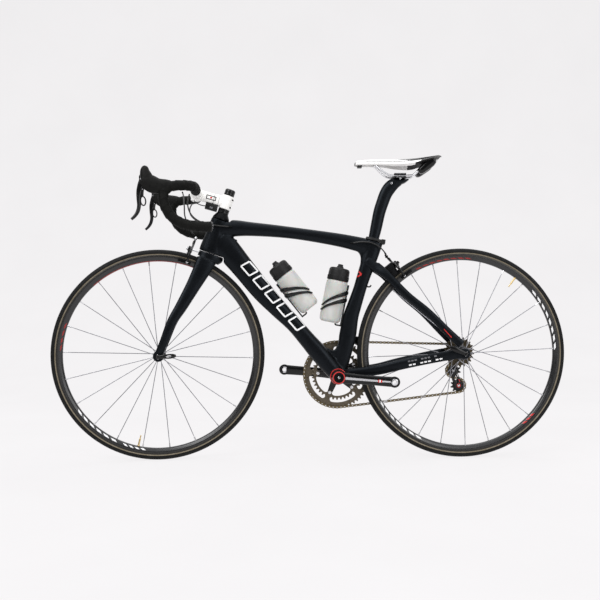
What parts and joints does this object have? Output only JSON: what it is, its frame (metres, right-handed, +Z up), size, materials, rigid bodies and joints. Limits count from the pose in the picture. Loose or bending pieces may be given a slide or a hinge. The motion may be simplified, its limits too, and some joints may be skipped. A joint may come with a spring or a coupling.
{
  "type": "road bicycle",
  "caption": "Road racing bicycle in matt black carbon with drop bars turned slightly left, white stem, black and white saddle, two bottles in cages, no pedals",
  "frame": {"origin": "on the ground in the centre plane, midway between the two wheel axles", "axes": "+X rearward from the front wheel to the rear wheel, +Y to the rider's right (the drive side), +Z up"},
  "size_m": [1.6285, 0.4669, 0.962],
  "materials": {
    "tape": "black cork-like tape",
    "black_metal": "black anodised",
    "gloss_black": "gloss black",
    "bronze": "worn bronze anodising",
    "chain": "oiled, golden brown",
    "dark_metal": "dark nickel plating",
    "carbon": "matt clear-coated carbon",
    "bottle": "translucent grey-white",
    "black_plastic": "moulded black plastic",
    "cable": "black cable housing",
    "hub": "grey brushed steel spokes and hub",
    "rim": "gloss black",
    "tyre": "dark grey tread with a tan edge",
    "hood": "textured black rubber",
    "saddle_white": "white cover with black top panels",
    "silver": "polished",
    "stem_white": "gloss white"
  },
  "bodies": {
    "steering": {"bar_tape_left": "tape", "bar_tape_right": "tape", "fork": "carbon", "front_brake_cable": "cable", "front_skewer": "black_metal", "handlebar": "black_metal", "headset_spacers": "black_metal", "hood_left": "hood", "hood_right": "hood", "stem": "stem_white", "stem_faceplate": "stem_white", "stem_top_cap": "black_metal"},
    "frame": {"bb_cup_left": "black_metal", "bb_cup_right": "black_metal", "cage_down_tube": "gloss_black", "cage_seat_tube": "gloss_black", "chain": "chain", "chainstays": "carbon", "front_triangle": "carbon", "head_cable_left": "cable", "head_cable_right": "cable", "rear_brake_cable": "cable", "rear_skewer": "black_metal", "saddle_clamp": "black_metal", "saddle_pad": "saddle_white", "saddle_rails": "silver", "saddle_shell": "black_plastic", "seat_collar": "black_metal", "seatpost": "carbon", "seatstays": "carbon"},
    "lever_left": {"brake_lever_left": "gloss_black"},
    "lever_right": {"brake_lever_right": "gloss_black"},
    "cassette": {"cassette": "bronze"},
    "crankset": {"chainring_inner": "dark_metal", "chainring_outer": "dark_metal", "crank_left": "gloss_black", "crank_right": "gloss_black"},
    "down_bottle": {"down_bottle_body": "bottle", "down_bottle_cap": "black_plastic"},
    "front_brake_left": {"front_brake_arm_left": "black_metal"},
    "front_brake_right": {"front_brake_arm_right": "black_metal"},
    "front_derailleur": {"front_derailleur_cage": "gloss_black"},
    "front_wheel": {"front_hub": "hub", "front_rim": "rim", "front_tyre": "tyre"},
    "front_qr": {"front_qr_lever": "gloss_black"},
    "jockey_lower": {"jockey_lower_wheel": "black_plastic"},
    "jockey_upper": {"jockey_upper_wheel": "black_plastic"},
    "rear_brake_left": {"rear_brake_arm_left": "black_metal"},
    "rear_brake_right": {"rear_brake_arm_right": "black_metal"},
    "derailleur_body": {"rear_derailleur_body": "gloss_black"},
    "derailleur_cage": {"rear_derailleur_cage": "gloss_black"},
    "rear_wheel": {"rear_hub": "hub", "rear_rim": "rim", "rear_tyre": "tyre"},
    "rear_qr": {"rear_qr_lever": "gloss_black"},
    "seat_bottle": {"seat_bottle_body": "bottle", "seat_bottle_cap": "black_plastic"},
    "paddle_left": {"shift_paddle_left": "gloss_black"},
    "paddle_right": {"shift_paddle_right": "gloss_black"}
  },
  "joints": [
    {"name": "steering", "type": "hinge", "parent": "frame", "child": "steering", "pos_m": [-0.43781, 0, 0.31902], "axis": [0.3256, 0, 0.9455], "range_deg": [-46, 33], "deforming": ["head_cable_left", "head_cable_right"]},
    {"name": "brake_lever_left", "type": "hinge", "parent": "steering", "child": "lever_left", "pos_m": [-0.48519, -0.23063, 0.85515], "axis": [0.1044, -0.9939, -0.036], "range_deg": [0, 12], "stiffness_Nm_per_rad": 1.2},
    {"name": "shift_paddle_left", "type": "hinge", "parent": "lever_left", "child": "paddle_left", "pos_m": [-0.48585, -0.22861, 0.8252], "axis": [0.9945, 0.1044, 0.0019], "range_deg": [0, 15], "stiffness_Nm_per_rad": 0.25},
    {"name": "brake_lever_right", "type": "hinge", "parent": "steering", "child": "lever_right", "pos_m": [-0.528, 0.17686, 0.86989], "axis": [0.1044, -0.9939, -0.036], "range_deg": [0, 12], "stiffness_Nm_per_rad": 1.2},
    {"name": "shift_paddle_right", "type": "hinge", "parent": "lever_right", "child": "paddle_right", "pos_m": [-0.52845, 0.17689, 0.83987], "axis": [-0.9945, -0.1044, -0.0019], "range_deg": [0, 15], "stiffness_Nm_per_rad": 0.25},
    {"name": "front_wheel_spin", "type": "hinge", "parent": "steering", "child": "front_wheel", "pos_m": [-0.48103, -0.00508, 0.33391], "axis": [-0.1044, 0.9939, 0.036], "continuous": true},
    {"name": "rear_wheel_spin", "type": "hinge", "parent": "frame", "child": "rear_wheel", "pos_m": [0.4813, 0, 0.334], "axis": [0, 1, 0], "continuous": true},
    {"name": "crank_spin", "type": "hinge", "parent": "frame", "child": "crankset", "pos_m": [0.0854, 0, 0.2632], "axis": [0, 1, 0], "continuous": true},
    {"name": "cassette_spin", "type": "hinge", "parent": "frame", "child": "cassette", "pos_m": [0.4813, 0, 0.334], "axis": [0, 1, 0], "continuous": true},
    {"name": "rear_shift", "type": "slide", "parent": "frame", "child": "derailleur_body", "axis": [-0.1002, -0.9016, -0.4208], "range_m": [0, 0.026], "deforming": ["chain"]},
    {"name": "chain_tension", "type": "hinge", "parent": "derailleur_body", "child": "derailleur_cage", "pos_m": [0.467, 0.0545, 0.272], "axis": [0, 1, 0], "range_deg": [-20, 25], "stiffness_Nm_per_rad": 0.6, "deforming": ["chain"]},
    {"name": "jockey_upper_spin", "type": "hinge", "parent": "derailleur_cage", "child": "jockey_upper", "pos_m": [0.467, 0.0545, 0.272], "axis": [0, 1, 0], "continuous": true},
    {"name": "jockey_lower_spin", "type": "hinge", "parent": "derailleur_cage", "child": "jockey_lower", "pos_m": [0.484, 0.0545, 0.2235], "axis": [0, 1, 0], "continuous": true},
    {"name": "front_shift", "type": "hinge", "parent": "frame", "child": "front_derailleur", "pos_m": [0.14, 0.033, 0.383], "axis": [-1, 0, 0], "range_deg": [0, 12], "stiffness_Nm_per_rad": 1, "deforming": ["chain"]},
    {"name": "front_brake_left", "type": "hinge", "parent": "steering", "child": "front_brake_left", "pos_m": [-0.36996, -0.00542, 0.66582], "axis": [0.9425, 0.1104, -0.3153], "range_deg": [0, 2.5]},
    {"name": "front_brake_right", "type": "hinge", "parent": "steering", "child": "front_brake_right", "pos_m": [-0.36996, -0.00542, 0.66582], "axis": [-0.9425, -0.1104, 0.3153], "range_deg": [0, 2.5]},
    {"name": "rear_brake_left", "type": "hinge", "parent": "frame", "child": "rear_brake_left", "pos_m": [0.26459, 0, 0.61138], "axis": [0.788, 0, 0.6157], "range_deg": [0, 2.5]},
    {"name": "rear_brake_right", "type": "hinge", "parent": "frame", "child": "rear_brake_right", "pos_m": [0.26459, 0, 0.61138], "axis": [-0.788, 0, -0.6157], "range_deg": [0, 2.5]},
    {"name": "front_release", "type": "hinge", "parent": "steering", "child": "front_qr", "pos_m": [-0.47397, -0.07237, 0.33147], "axis": [0.0577, 0.0421, -0.9974], "range_deg": [0, 165]},
    {"name": "rear_release", "type": "hinge", "parent": "frame", "child": "rear_qr", "pos_m": [0.4813, -0.0817, 0.334], "axis": [0.3987, 0, 0.9171], "range_deg": [0, 165]},
    {"name": "down_bottle_slide", "type": "slide", "parent": "frame", "child": "down_bottle", "axis": [-0.62, 0, 0.7846], "range_m": [0, 0.045]},
    {"name": "seat_bottle_slide", "type": "slide", "parent": "frame", "child": "seat_bottle", "axis": [0.205, 0, 0.9788], "range_m": [0, 0.035]}
  ],
  "couplings": [
    {"joint": "cassette_spin", "follows": "crank_spin", "ratio": 4.4167},
    {"joint": "jockey_upper_spin", "follows": "crank_spin", "ratio": -4.8182},
    {"joint": "jockey_lower_spin", "follows": "crank_spin", "ratio": 4.8182},
    {"joint": "front_brake_left", "follows": "brake_lever_left", "ratio": 0.2},
    {"joint": "rear_brake_left", "follows": "brake_lever_right", "ratio": 0.2},
    {"joint": "front_brake_right", "follows": "brake_lever_left", "ratio": 0.2},
    {"joint": "rear_brake_right", "follows": "brake_lever_right", "ratio": 0.2}
  ]
}
